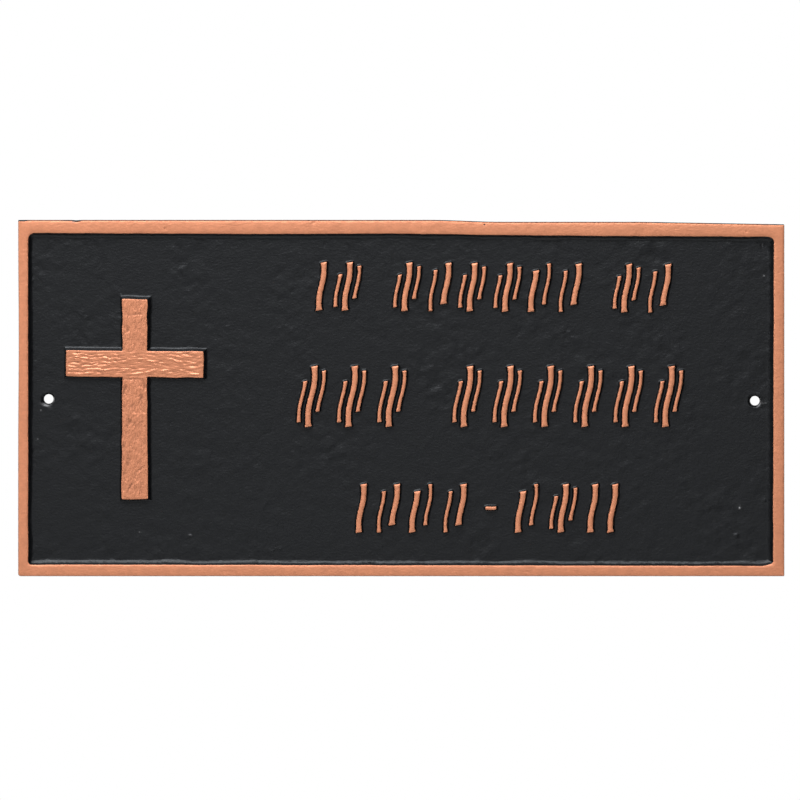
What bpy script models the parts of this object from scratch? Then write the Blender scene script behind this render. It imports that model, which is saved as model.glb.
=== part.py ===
"""A cast aluminium memorial plaque with a raised rim, a cross and three rows of raised strokes.

Metres, +Z up. The face looks along -Y, and the flat back lies in the plane Y = 0 with its middle at the
origin. The whole plaque is one casting. Run it with blender --background --python part.py
"""

import math

import bmesh
import bpy

# The plate
WIDTH = 0.400
HEIGHT = 0.186
PANEL_THICKNESS = 0.005
RELIEF = 0.003
OUTER_CORNER_RADIUS = 0.0010
OUTER_DRAFT = 0.0004
BACK_EDGE = 0.0005

# The rim, as wide as its painted face and outer draft together
RIM_LEFT = 0.0052
RIM_RIGHT = 0.00585
RIM_TOP = 0.0069
RIM_BOTTOM = 0.0061
RIM_CROWN = 0.00015
RIM_EDGE_ROUND = 0.0004
RIM_WALL_FOOT = 0.0022
RIM_WALL_FILLET = 0.0014
POCKET_RADII = {"low_left": 0.0017, "low_right": 0.0013, "top_right": 0.0028, "top_left": 0.0033}

# The hand-ground top edge: a step along the middle, then a fall to the right-hand end
TOP_STEP_DEPTH = 0.0010
TOP_STEP_FROM_RIGHT = 0.185
TOP_STEP_RUN = 0.037
TOP_FALL_DEPTH = 0.0013
TOP_FALL_FROM_RIGHT = 0.075
BOTTOM_RISE = 0.0004

# The pocket isn't quite square to the outer edge
POCKET_TOP_FALL = 0.0020
POCKET_BOTTOM_FALL = 0.00045
POCKET_RIGHT_LEAN = 0.0005

# The two screw holes at half height
HOLE_DIAMETER = 0.0059
HOLE_MOUTH_DIAMETER = 0.0073
HOLE_MOUTH_DEPTH = 0.0006
LEFT_HOLE_INSET = 0.0164
RIGHT_HOLE_INSET = 0.0153
LEFT_HOLE_DROP = 0.0004
RIGHT_HOLE_DROP = 0.0015

# The cross
CROSS_HEIGHT = 0.1043
CROSS_SPAN = 0.0716
CROSS_FROM_LEFT = 0.0608
CROSS_DROP = 0.0005
POST_TOP_WIDTH = 0.01325
POST_BAR_WIDTH = 0.0128
POST_FOOT_WIDTH = 0.0140
BAR_THICKNESS = 0.0135
BAR_BELOW_TOP = 0.0338
BAR_TILT = math.radians(-0.5)
CROSS_WALL_FOOT = 0.0015
CROSS_WALL_FILLET = 0.0009
CROSS_FOOT_SHIFT = (0.0006, 0.0005)
CROSS_EDGE_DROP = 0.00015
GRAIN_DEPTH = 0.00035
GRAIN_SWAY = 0.00045
MOTTLE_DEPTH = 0.00025

# The waves that the grain's lines follow: their share, their waves along the bar and their shift from
# line to line. Then the waves of each line's depth, and those of the post's beaten face across and up it.
SWAY_WAVES = ((0.65, 2.3, 1.7), (0.35, 6.1, 2.9))
DEPTH_WAVES = (3.1, 2.3)
MOTTLE_WAVES = ((1.3, 4.7), (-0.8, 11.0))
CREST_DIP = 0.25
FURROW_LEAST = 0.45

# The raised strokes
STROKE_RELIEF = 0.0022
STROKE_WALL_FOOT = 0.0008
STROKE_THICK = 0.0026
STROKE_THIN = 0.0016
STROKE_LEAN = 0.048
STROKE_BEND = 0.026
STROKE_FLARE = 0.35
STROKE_FLARE_LENGTH = 0.0024
STROKE_END_SLOPE = 0.18
DASH_THICKNESS = 0.0016
ROW_TOP_MARGIN = 0.0123
ROW_BOTTOM_MARGIN = 0.0143
MIDDLE_ROW_RAISE = 0.0007

# How wide a mark is, by how many strokes it has. A mark of no strokes is a level dash.
DASH = 0
MARK_WIDTHS = {DASH: 0.0057, 1: 0.0050, 2: 0.0120, 3: 0.0150}

# The part of the row's height that each stroke of a mark covers, from -1 at its foot to 1 at its head
STROKE_REACH = {
    1: ((-1.0, 1.0),),
    2: ((-1.0, 0.7), (-0.7, 1.0)),
    3: ((-0.85, 0.5), (-1.0, 1.0), (-0.5, 0.85)),
}

# Each row's height, the room it leaves at either side of the free panel, how far it stands to the
# right, how much it falls along its length, its gaps, and its groups of marks.
TOP_ROW = {
    "height": 0.0250,
    "side_margin": 0.0551,
    "shift": 0.0040,
    "fall": 0.0012,
    "mark_gap": 0.00375,
    "group_gap": 0.0166,
    "groups": ((1, 3), (3, 2, 3, 3, 2, 2), (3, 2)),
}
MIDDLE_ROW = {
    "height": 0.0315,
    "side_margin": 0.0465,
    "shift": 0.0021,
    "fall": 0.0,
    "mark_gap": 0.0054,
    "group_gap": 0.0230,
    "groups": ((3, 3, 3), (3, 3, 3, 3, 3, 3)),
}
BOTTOM_ROW = {
    "height": 0.0250,
    "side_margin": 0.0793,
    "shift": 0.0006,
    "fall": 0.0,
    "mark_gap": 0.0055,
    "group_gap": 0.0102,
    "groups": ((1, 2, 2, 2), (DASH,), (2, 3, 1, 1)),
}

# How finely curves are cut up
CORNER_STEPS = 4
FILLET_STEPS = 2
FILLET_TURN = math.radians(62)
EDGE_STEPS = 10
HOLE_SIDES = 32
STROKE_STEPS = 5
GRAIN_RIDGES = 5
ARM_COLUMNS = 9
POST_COLUMNS = 6
FOOT_ROWS = 18
HEAD_ROWS = 7

# How far a raised shape reaches into the plate that it is one with, and a cutter past what it cuts
SINK = 0.0003
CUT_PAST = 0.001

BLACK, COPPER = 0, 1


def clear_scene():
    for thing in list(bpy.data.objects):
        bpy.data.objects.remove(thing)


def paint(name, colour, roughness, metallic):
    material = bpy.data.materials.new(name)
    material.use_nodes = True
    shader = material.node_tree.nodes["Principled BSDF"]
    shader.inputs["Base Color"].default_value = (*colour, 1.0)
    shader.inputs["Roughness"].default_value = roughness
    shader.inputs["Metallic"].default_value = metallic
    return material


def eased(share):
    """0 up to 1 with a soft start and end."""
    share = min(max(share, 0.0), 1.0)
    return share * share * (3.0 - 2.0 * share)


def along(x):
    """How far x lies along the plaque, from 0 at its left end to 1 at its right end."""
    return x / WIDTH + 0.5


def ground(point):
    """Moves a point of the square outer outline to where hand grinding left that edge."""
    x, z = point
    if z < 0:
        return x, z + BOTTOM_RISE * along(x)
    from_right = WIDTH / 2 - x
    step = TOP_STEP_DEPTH * eased((TOP_STEP_FROM_RIGHT - from_right) / TOP_STEP_RUN)
    fall = TOP_FALL_DEPTH * max(0.0, 1.0 - from_right / TOP_FALL_FROM_RIGHT)
    return x, z - step - fall


def leaning(point):
    """Moves a point of the square pocket outline to where the pattern had it."""
    x, z = point
    if x > 0:
        x += POCKET_RIGHT_LEAN * z / HEIGHT
    fall = POCKET_TOP_FALL if z > 0 else POCKET_BOTTOM_FALL
    return x, z - fall * along(x)


def rounded_outline(left, right, low, top, radii):
    """A rectangle with round corners, counter-clockwise from its lower left corner."""
    corners = (
        (left, low, 1, 1, "low_left"),
        (right, low, -1, 1, "low_right"),
        (right, top, -1, -1, "top_right"),
        (left, top, 1, -1, "top_left"),
    )
    points = []
    for number, (x, z, inward_x, inward_z, name) in enumerate(corners):
        radius = radii[name]
        for step in range(CORNER_STEPS + 1):
            turn = math.pi + math.pi / 2 * (number + step / CORNER_STEPS)
            points.append(
                (
                    x + radius * (inward_x + math.cos(turn)),
                    z + radius * (inward_z + math.sin(turn)),
                )
            )
        if name in ("low_left", "top_right"):
            here = points[-1]
            far = right - radii["low_right"] if name == "low_left" else left + radii["top_left"]
            for step in range(1, EDGE_STEPS):
                points.append((here[0] + (far - here[0]) * step / EDGE_STEPS, here[1]))
    return points


def outer_outline(inset):
    radius = max(OUTER_CORNER_RADIUS - inset, OUTER_CORNER_RADIUS / 4)
    square = rounded_outline(
        -WIDTH / 2 + inset,
        WIDTH / 2 - inset,
        -HEIGHT / 2 + inset,
        HEIGHT / 2 - inset,
        {name: radius for name in POCKET_RADII},
    )
    return [ground(point) for point in square]


def pocket_outline(inset):
    """The rim's inner edge, or a line that runs inset from it towards the panel."""
    radii = {name: max(radius - inset, radius / 2) for name, radius in POCKET_RADII.items()}
    square = rounded_outline(
        -WIDTH / 2 + RIM_LEFT + inset,
        WIDTH / 2 - RIM_RIGHT - inset,
        -HEIGHT / 2 + RIM_BOTTOM + inset,
        HEIGHT / 2 - RIM_TOP - inset,
        radii,
    )
    return [leaning(point) for point in square]


def wall_profile(height, foot, fillet):
    """Points down a drafted wall with a fillet at its foot, as (distance out, height above the panel)."""
    radius = min(fillet, foot)
    points = [(0.0, height)]
    for step in range(FILLET_STEPS, -1, -1):
        turn = FILLET_TURN * step / FILLET_STEPS
        points.append((foot - radius * math.sin(turn), radius * (1 - math.cos(turn))))
    return points


def make_ring(mesh, outline, height):
    """A ring of vertices at this height above the panel."""
    return [mesh.verts.new((x, -(PANEL_THICKNESS + height), z)) for x, z in outline]


def join_rings(mesh, upper, lower, material_index=BLACK):
    """Faces between two rings, with upper the one nearer the front and the outline's outside facing out."""
    count = len(upper)
    for index in range(count):
        after = (index + 1) % count
        face = mesh.faces.new((upper[index], lower[index], lower[after], upper[after]))
        face.material_index = material_index


def new_object(name, mesh, materials, helper=False):
    bmesh.ops.recalc_face_normals(mesh, faces=mesh.faces)
    data = bpy.data.meshes.new(name)
    mesh.to_mesh(data)
    mesh.free()
    for material in materials:
        data.materials.append(material)
    thing = bpy.data.objects.new(name, data)
    bpy.context.scene.collection.objects.link(thing)
    if helper:
        thing.hide_render = True
        thing.display_type = "WIRE"
    return thing


def build_plate(materials):
    """The plate with its raised rim: rings from the back's edge, over the rim and down to the panel."""
    mesh = bmesh.new()
    outside = outer_outline(OUTER_DRAFT + RIM_EDGE_ROUND)
    inside = pocket_outline(-RIM_EDGE_ROUND)
    middle = [((a + c) / 2, (b + d) / 2) for (a, b), (c, d) in zip(outside, inside)]
    bands = [
        (outer_outline(BACK_EDGE), -PANEL_THICKNESS, BLACK),
        (outer_outline(0.0), BACK_EDGE - PANEL_THICKNESS, BLACK),
        (outer_outline(OUTER_DRAFT), RELIEF - RIM_CROWN - RIM_EDGE_ROUND, BLACK),
        (outside, RELIEF - RIM_CROWN, COPPER),
        (middle, RELIEF, COPPER),
        (inside, RELIEF - RIM_CROWN, COPPER),
    ]
    wall_top = RELIEF - RIM_CROWN - RIM_EDGE_ROUND
    for spread, height in wall_profile(wall_top, RIM_WALL_FOOT, RIM_WALL_FILLET):
        bands.append((pocket_outline(spread), height, BLACK))
    rings = [make_ring(mesh, outline, height) for outline, height, _ in bands]
    mesh.faces.new(reversed(rings[0]))
    for lower, upper, band in zip(rings, rings[1:], bands[1:]):
        join_rings(mesh, upper, lower, band[2])
    mesh.faces.new(rings[-1])
    return new_object("memorial_plaque", mesh, materials)


def offset_outline(points, distance, shift=(0.0, 0.0)):
    """A closed counter-clockwise outline moved outwards, with its corners kept sharp."""
    moved = []
    count = len(points)
    for index, (x, z) in enumerate(points):
        normals = []
        for first, second in ((points[index - 1], (x, z)), ((x, z), points[(index + 1) % count])):
            run, rise = second[0] - first[0], second[1] - first[1]
            length = math.hypot(run, rise)
            normals.append((rise / length, -run / length))
        (ax, az), (bx, bz) = normals
        reach = distance / (1.0 + ax * bx + az * bz)
        moved.append((x + (ax + bx) * reach + shift[0], z + (az + bz) * reach + shift[1]))
    return moved


def cross_middle():
    """Where the middle of the cross's height and of its bar's length lies."""
    return -WIDTH / 2 + CROSS_FROM_LEFT, -CROSS_DROP


def post_half_width(height):
    """Half the post's width at a height above the cross's middle: it narrows from both ends to the bar."""
    bar = CROSS_HEIGHT / 2 - BAR_BELOW_TOP
    if height > bar:
        share = (height - bar) / BAR_BELOW_TOP
        return (POST_BAR_WIDTH + (POST_TOP_WIDTH - POST_BAR_WIDTH) * share) / 2
    share = (bar - height) / (CROSS_HEIGHT - BAR_BELOW_TOP)
    return (POST_BAR_WIDTH + (POST_FOOT_WIDTH - POST_BAR_WIDTH) * share) / 2


def ridge_sway(x, line):
    """How far a ridge of the bar's grain wanders up or down at a distance x along the bar."""
    turn = 2 * math.pi * x / CROSS_SPAN
    waves = (share * math.sin(count * turn + shift * line) for share, count, shift in SWAY_WAVES)
    return GRAIN_SWAY * sum(waves)


def grain_depth(x, line):
    """How far below the bar's face a line of its grain lies: crests on odd lines, furrows between."""
    count, shift = DEPTH_WAVES
    share = 0.5 + 0.5 * math.sin(count * 2 * math.pi * x / CROSS_SPAN + shift * line)
    if line % 2:
        return GRAIN_DEPTH * CREST_DIP * share
    return GRAIN_DEPTH * (FURROW_LEAST + (1 - FURROW_LEAST) * share)


def mottle_depth(x, z):
    """How far below the post's face its beaten surface lies."""
    across = 2 * math.pi * x / POST_FOOT_WIDTH
    up = 2 * math.pi * z / CROSS_HEIGHT
    ripples = (math.sin(wide * across + tall * up) for wide, tall in MOTTLE_WAVES)
    return MOTTLE_DEPTH * (0.5 + 0.5 * math.prod(ripples))


def cross_point(column, row):
    """Position and depth of one grid point of the cross's face, or None outside it."""
    last_column = 2 * ARM_COLUMNS + POST_COLUMNS
    bar_rows = 2 * GRAIN_RIDGES
    last_row = FOOT_ROWS + bar_rows + HEAD_ROWS
    line = row - FOOT_ROWS
    in_post = ARM_COLUMNS <= column <= ARM_COLUMNS + POST_COLUMNS
    in_bar = 0 <= line <= bar_rows
    if not (in_post or in_bar):
        return None
    bar_middle = CROSS_HEIGHT / 2 - BAR_BELOW_TOP
    bar_low, bar_top = bar_middle - BAR_THICKNESS / 2, bar_middle + BAR_THICKNESS / 2
    if in_bar:
        z = bar_low + (bar_top - bar_low) * line / bar_rows
    elif line < 0:
        z = -CROSS_HEIGHT / 2 + (bar_low + CROSS_HEIGHT / 2) * row / FOOT_ROWS
    else:
        z = bar_top + (CROSS_HEIGHT / 2 - bar_top) * (line - bar_rows) / HEAD_ROWS
    half = post_half_width(z)
    if in_post:
        x = half * (2 * (column - ARM_COLUMNS) / POST_COLUMNS - 1)
    elif column < ARM_COLUMNS:
        x = -CROSS_SPAN / 2 + (CROSS_SPAN / 2 - half) * column / ARM_COLUMNS
    else:
        x = CROSS_SPAN / 2 - (CROSS_SPAN / 2 - half) * (last_column - column) / ARM_COLUMNS
    inside_bar = 0 < line < bar_rows and 0 < column < last_column
    inside_post = ARM_COLUMNS < column < ARM_COLUMNS + POST_COLUMNS and 0 < row < last_row
    depth = CROSS_EDGE_DROP
    if inside_bar:
        depth = grain_depth(x, line)
        z += ridge_sway(x, line) * math.sin(math.pi * line / bar_rows)
    elif inside_post:
        depth = mottle_depth(x, z)
    if in_bar:
        z += math.tan(BAR_TILT) * x
    middle_x, middle_z = cross_middle()
    return middle_x + x, middle_z + z, depth


def border_of(mesh):
    """The vertices round an open sheet of faces, counter-clockwise."""
    following = {}
    for face in mesh.faces:
        for loop in face.loops:
            if loop.edge.is_boundary:
                following[loop.vert] = loop.link_loop_next.vert
    walk = [next(iter(following))]
    while following[walk[-1]] is not walk[0]:
        walk.append(following[walk[-1]])
    return walk


def build_cross(materials):
    """The raised cross: a face with its grain, and drafted walls that run down into the plate."""
    mesh = bmesh.new()
    columns = 2 * ARM_COLUMNS + POST_COLUMNS
    rows = FOOT_ROWS + 2 * GRAIN_RIDGES + HEAD_ROWS
    grid = {}
    for column in range(columns + 1):
        for row in range(rows + 1):
            place = cross_point(column, row)
            if place:
                x, z, depth = place
                grid[column, row] = mesh.verts.new((x, -(PANEL_THICKNESS + RELIEF - depth), z))
    for column, row in grid:
        corners = ((column, row), (column + 1, row), (column + 1, row + 1), (column, row + 1))
        in_post = ARM_COLUMNS <= column < ARM_COLUMNS + POST_COLUMNS
        in_bar = FOOT_ROWS <= row < FOOT_ROWS + 2 * GRAIN_RIDGES
        if (in_post or in_bar) and all(corner in grid for corner in corners):
            face = mesh.faces.new([grid[corner] for corner in corners])
            face.material_index = COPPER
    upper = border_of(mesh)
    outline = [(vertex.co.x, vertex.co.z) for vertex in upper]
    top_height = RELIEF - CROSS_EDGE_DROP
    profile = wall_profile(top_height, CROSS_WALL_FOOT, CROSS_WALL_FILLET)[1:]
    toe = profile.pop()
    last = profile[-1]
    profile.append((2 * toe[0] - last[0], -last[1]))
    profile.append((2 * toe[0] - last[0], -last[1] - SINK))
    for spread, height in profile:
        share = min((top_height - height) / top_height, 1.0)
        shift = (CROSS_FOOT_SHIFT[0] * share, CROSS_FOOT_SHIFT[1] * share)
        lower = make_ring(mesh, offset_outline(outline, spread, shift), height)
        join_rings(mesh, upper, lower)
        upper = lower
    mesh.faces.new(reversed(upper))
    return new_object("raised_cross", mesh, materials, helper=True)


def stroke_outline(middle, height, reach, thickness, squeeze):
    """One leaning, slightly bent stroke with flared ends, counter-clockwise."""
    low, high = reach
    length = (high - low) * height / 2
    flare_share = min(STROKE_FLARE_LENGTH / length, 1 / 3)
    shares = [0.0] + [
        flare_share + (1 - 2 * flare_share) * step / STROKE_STEPS for step in range(STROKE_STEPS + 1)
    ]
    shares.append(1.0)
    left, right = [], []
    for share in shares:
        level = low + (high - low) * share
        sideways = height * (STROKE_LEAN * level + STROKE_BEND * math.sin(math.pi * level))
        at_end = share in (0.0, 1.0)
        half = thickness / 2 * (1 + STROKE_FLARE if at_end else 1)
        x = middle[0] + sideways * squeeze
        z = middle[1] + level * height / 2
        cut = half * STROKE_END_SLOPE if at_end else 0.0
        left.append((x - half * squeeze, z - cut))
        right.append((x + half * squeeze, z + cut))
    return right + left[::-1]


def dash_outline(middle, squeeze):
    half, rise = MARK_WIDTHS[DASH] / 2 * squeeze, DASH_THICKNESS / 2
    x, z = middle
    return [(x - half, z - rise), (x + half, z - rise), (x + half, z + rise), (x - half, z + rise)]


def mark_outlines(middle, strokes, height, squeeze, number):
    """The strokes of one mark, side by side over its width, the heavy one changing sides in pairs."""
    if strokes == DASH:
        return [dash_outline(middle, squeeze)]
    room = MARK_WIDTHS[strokes] - 2 * STROKE_LEAN * height - STROKE_THICK
    outlines = []
    for index, reach in enumerate(STROKE_REACH[strokes]):
        place = index / (strokes - 1) - 0.5 if strokes > 1 else 0.0
        heavy = {1: True, 2: index == number % 2, 3: index == 1}[strokes]
        thickness = STROKE_THICK if heavy else STROKE_THIN
        centre = (middle[0] + place * room * squeeze, middle[1])
        outlines.append(stroke_outline(centre, height, reach, thickness, squeeze))
    return outlines


def row_outlines(row, row_height):
    """The outlines of one row, spread over the panel between the cross and the rim."""
    natural = row["group_gap"] * (len(row["groups"]) - 1)
    for group in row["groups"]:
        natural += sum(MARK_WIDTHS[strokes] for strokes in group)
        natural += row["mark_gap"] * (len(group) - 1)
    free_left = cross_middle()[0] + CROSS_SPAN / 2
    free_right = WIDTH / 2 - RIM_RIGHT - RIM_WALL_FOOT
    room = free_right - free_left - 2 * row["side_margin"]
    squeeze = room / natural
    x = free_left + row["side_margin"] + row["shift"]
    start = x
    outlines = []
    for group in row["groups"]:
        for number, strokes in enumerate(group):
            width = MARK_WIDTHS[strokes] * squeeze
            fall = row["fall"] * ((x + width / 2 - start) / room - 0.5)
            middle = (x + width / 2, row_height - fall)
            outlines += mark_outlines(middle, strokes, row["height"], squeeze, number)
            x += width + row["mark_gap"] * squeeze
        x += (row["group_gap"] - row["mark_gap"]) * squeeze
    return outlines


def build_strokes(materials):
    """All the raised strokes, as closed solids with drafted walls that run down into the plate."""
    panel_top = HEIGHT / 2 - RIM_TOP - RIM_WALL_FOOT - POCKET_TOP_FALL / 2
    panel_low = -HEIGHT / 2 + RIM_BOTTOM + RIM_WALL_FOOT
    top_height = panel_top - ROW_TOP_MARGIN - TOP_ROW["height"] / 2
    bottom_height = panel_low + ROW_BOTTOM_MARGIN + BOTTOM_ROW["height"] / 2
    middle_height = (top_height + bottom_height) / 2 + MIDDLE_ROW_RAISE
    mesh = bmesh.new()
    deep = STROKE_WALL_FOOT * (STROKE_RELIEF + SINK) / STROKE_RELIEF
    for row, height in ((TOP_ROW, top_height), (MIDDLE_ROW, middle_height), (BOTTOM_ROW, bottom_height)):
        for outline in row_outlines(row, height):
            upper = make_ring(mesh, outline, STROKE_RELIEF)
            lower = make_ring(mesh, offset_outline(outline, deep), -SINK)
            mesh.faces.new(upper).material_index = COPPER
            join_rings(mesh, upper, lower)
            mesh.faces.new(reversed(lower))
    return new_object("raised_strokes", mesh, materials, helper=True)


def build_hole_cutter(name, x, z):
    """A turned cutter for one screw hole: straight through the plate, with a flared mouth at the panel."""
    mesh = bmesh.new()
    straight, mouth = HOLE_DIAMETER / 2, HOLE_MOUTH_DIAMETER / 2
    slope = (mouth - straight) / HOLE_MOUTH_DEPTH
    profile = (
        (mouth + slope * CUT_PAST, PANEL_THICKNESS + CUT_PAST),
        (straight, PANEL_THICKNESS - HOLE_MOUTH_DEPTH),
        (straight, -CUT_PAST),
    )
    rings = []
    for radius, height in profile:
        turns = [2 * math.pi * side / HOLE_SIDES for side in range(HOLE_SIDES)]
        outline = [(x + radius * math.cos(turn), z + radius * math.sin(turn)) for turn in turns]
        rings.append([mesh.verts.new((a, -height, b)) for a, b in outline])
    mesh.faces.new(rings[0])
    for upper, lower in zip(rings, rings[1:]):
        join_rings(mesh, upper, lower)
    mesh.faces.new(reversed(rings[-1]))
    return new_object(name, mesh, (), helper=True)


def combine(casting, other, operation):
    boolean = casting.modifiers.new(other.name, "BOOLEAN")
    boolean.operation = operation
    boolean.solver = "EXACT"
    boolean.object = other
    boolean.use_self = operation == "UNION"


def build_plaque():
    """The whole casting: plate, cross and strokes made one, then drilled."""
    materials = (
        paint("black_satin_paint", (0.024, 0.024, 0.027), 0.45, 0.0),
        paint("copper_paint", (0.62, 0.27, 0.16), 0.38, 0.6),
    )
    casting = build_plate(materials)
    combine(casting, build_cross(materials), "UNION")
    combine(casting, build_strokes(materials), "UNION")
    left_x, right_x = LEFT_HOLE_INSET - WIDTH / 2, WIDTH / 2 - RIGHT_HOLE_INSET
    combine(casting, build_hole_cutter("left_hole", left_x, -LEFT_HOLE_DROP), "DIFFERENCE")
    combine(casting, build_hole_cutter("right_hole", right_x, -RIGHT_HOLE_DROP), "DIFFERENCE")
    casting.modifiers.new("triangles", "TRIANGULATE")


clear_scene()
build_plaque()
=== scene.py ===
import math
import random

import bpy
import numpy as np
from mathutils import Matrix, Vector
from mathutils.geometry import delaunay_2d_cdt


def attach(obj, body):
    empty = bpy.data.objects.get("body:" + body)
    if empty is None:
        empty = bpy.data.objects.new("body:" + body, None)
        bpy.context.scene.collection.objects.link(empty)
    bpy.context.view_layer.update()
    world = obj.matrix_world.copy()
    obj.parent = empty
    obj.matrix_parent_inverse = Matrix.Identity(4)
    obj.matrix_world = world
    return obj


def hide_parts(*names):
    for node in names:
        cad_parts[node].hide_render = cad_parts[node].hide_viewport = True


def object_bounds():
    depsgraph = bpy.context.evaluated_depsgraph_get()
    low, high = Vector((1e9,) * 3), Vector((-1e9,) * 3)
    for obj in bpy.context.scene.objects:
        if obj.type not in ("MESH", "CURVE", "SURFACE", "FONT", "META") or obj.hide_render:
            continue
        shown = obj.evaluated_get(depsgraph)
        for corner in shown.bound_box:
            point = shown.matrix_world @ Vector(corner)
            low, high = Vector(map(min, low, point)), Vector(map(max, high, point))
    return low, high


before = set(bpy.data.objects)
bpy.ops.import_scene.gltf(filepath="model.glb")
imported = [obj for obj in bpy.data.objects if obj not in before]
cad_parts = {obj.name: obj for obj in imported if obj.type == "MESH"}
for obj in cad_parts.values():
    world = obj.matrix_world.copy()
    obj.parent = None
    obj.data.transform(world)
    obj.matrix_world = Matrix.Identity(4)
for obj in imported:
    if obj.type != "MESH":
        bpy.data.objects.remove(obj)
solid_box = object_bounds()

# The plate with its raised rim. The whole plaque is one aluminium sand casting, modelled here as one fine
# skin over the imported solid, in metres, with its face along -Y and its flat back at Y = 0. A place on the
# face is an (x, z) pair, and its height goes from the panel to the viewer. Corners go round from low left.
WIDTH, HEIGHT = 0.4, 0.186
PANEL_THICKNESS = 0.005
RELIEF = 0.003
OUTER_RADII = (0.0014, 0.0006, 0.0006, 0.0006)
OUTER_DRAFT, TOP_DRAFT = 0.0003, 0.00022
BACK_EDGE = 0.0005
RIM_LEFT, RIM_RIGHT, RIM_TOP, RIM_BOTTOM = 0.00535, 0.00585, 0.0068, 0.0061
RIM_CROWN = 0.00018
RIM_EDGE_ROUND, RIM_EDGE_DROP = 0.0003, 0.00013
RIM_INNER_ROUND, RIM_INNER_DROP = 0.0004, 0.00017
RIM_WALL_FOOT, RIM_WALL_FACET = 0.0023, 0.0011
WALL_REACH, WALL_BLEND, WALL_UNEVENNESS = 0.015, 0.004, 0.08
EDGE_SWAY, SWAY_LENGTH, EDGE_NICKS, NICK_LENGTH = 0.00005, 0.03, 0.00002, 0.0045
RIGHT_WALL_STRETCH, LOW_WALL_STRETCH, LOW_FACET_EXTRA = 0.4, 0.05, 0.25
PAST_WALL = 0.0012
POCKET_RADII = (0.0017, 0.0013, 0.002, 0.0033)
RIM_SPACING, CORNER_STEPS = 0.00105, 7
FACET_TURN = math.radians(28)
OUTER_BOX = (-WIDTH / 2, WIDTH / 2, -HEIGHT / 2, HEIGHT / 2)
POCKET_BOX = (-WIDTH / 2 + RIM_LEFT, WIDTH / 2 - RIM_RIGHT, -HEIGHT / 2 + RIM_BOTTOM, HEIGHT / 2 - RIM_TOP)

# The hand-ground top edge steps down along its middle and falls to its right-hand end, and the pocket
# isn't quite square to it.
TOP_STEP_DEPTH, TOP_STEP_FROM_RIGHT, TOP_STEP_RUN = 0.001, 0.185, 0.037
TOP_FALL_DEPTH, TOP_FALL_FROM_RIGHT = 0.0013, 0.075
CHIP_X, CHIP_HALF_LENGTH, CHIP_DEPTH = -0.1697, 0.0013, 0.0002
POCKET_TOP_FALL, POCKET_BOTTOM_FALL, POCKET_RIGHT_LEAN = 0.0021, 0.0007, 0.0005
LOW_CORNER_RISE, LOW_CORNER_RUN = 0.0012, 0.006
TOP_CORNER_DROP, TOP_CORNER_RUN = 0.0007, 0.0038
POCKET_TOP_BOW, POCKET_BOW_HALF_LENGTH = 0.0006, 0.05
LEFT_HOLLOW, HOLLOW_Z, HOLLOW_HALF_LENGTH = 0.0003, 0.03, 0.035


def eased(share):
    """A soft rise from 0 to 1."""
    share = np.clip(share, 0.0, 1.0)
    return share * share * (3.0 - 2.0 * share)


def bell(distance, size):
    """1 at no distance, falling off smoothly to both sides over about this size."""
    return np.exp(-((distance / size) ** 2))


def fading(z):
    """1 along the top edge, fading out from a quarter of the height down to the middle."""
    return np.clip(z / (HEIGHT / 4), 0.0, 1.0)


def ground_off(x, z):
    """How far hand grinding has lowered the plaque's top edge at x. It fades out below."""
    from_right = WIDTH / 2 - x
    step = TOP_STEP_DEPTH * eased((TOP_STEP_FROM_RIGHT - from_right) / TOP_STEP_RUN)
    fall = TOP_FALL_DEPTH * np.maximum(0.0, 1.0 - from_right / TOP_FALL_FROM_RIGHT)
    chip = CHIP_DEPTH * bell(x - CHIP_X, CHIP_HALF_LENGTH)
    return (step + fall + chip + TOP_DRAFT) * fading(z)


def left_hollow(x, z):
    """How far the middle of the left edge has been ground in."""
    return np.where(x < 0, LEFT_HOLLOW * bell(z - HOLLOW_Z, HOLLOW_HALF_LENGTH), 0.0)


def pocket_fall(x, z):
    """How far the rim's inner edge falls at x along its top, and along its bottom."""
    bow = POCKET_TOP_BOW * bell(x, POCKET_BOW_HALF_LENGTH)
    past_right = x - WIDTH / 2 + RIM_RIGHT
    rise = LOW_CORNER_RISE * eased(past_right / LOW_CORNER_RUN + 1)
    drop = TOP_CORNER_DROP * eased(past_right / TOP_CORNER_RUN + 1)
    along = x / WIDTH + 0.5
    top_fall = POCKET_TOP_FALL * along - bow + drop
    return top_fall * fading(z) + (POCKET_BOTTOM_FALL * along - rise) * fading(-z)


def rounded_rectangle(box, inset, radii, least):
    """A line that runs inset from a box with round corners, counter-clockwise from its lower left."""
    left, right, low, top = (side + inset * way for side, way in zip(box, (1, -1, 1, -1)))
    places = ((left, low, 1, 1), (right, low, -1, 1), (right, top, -1, -1), (left, top, 1, -1))
    arcs = []
    for number, ((x, z, inward_x, inward_z), radius) in enumerate(zip(places, radii)):
        turns = math.pi + math.pi / 2 * (number + np.arange(CORNER_STEPS + 1) / CORNER_STEPS)
        sharp = max(radius - inset, radius * least)
        arc_x, arc_z = x + sharp * (inward_x + np.cos(turns)), z + sharp * (inward_z + np.sin(turns))
        arcs.append(np.column_stack((arc_x, arc_z)))
    points = []
    for arc, following, length in zip(arcs, arcs[1:] + arcs[:1], (WIDTH, HEIGHT) * 2):
        count = round(length / RIM_SPACING)
        points += [arc, arc[-1] + (following[0] - arc[-1]) * np.arange(1, count)[:, None] / count]
    return np.concatenate(points)


def outer_outline(inset):
    """The plaque's outer edge, or a line that runs inset from it."""
    points = rounded_rectangle(OUTER_BOX, inset, OUTER_RADII, 0.25)
    points[:, 1] -= ground_off(*points.T)
    points[:, 0] += left_hollow(*points.T)
    return points


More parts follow.
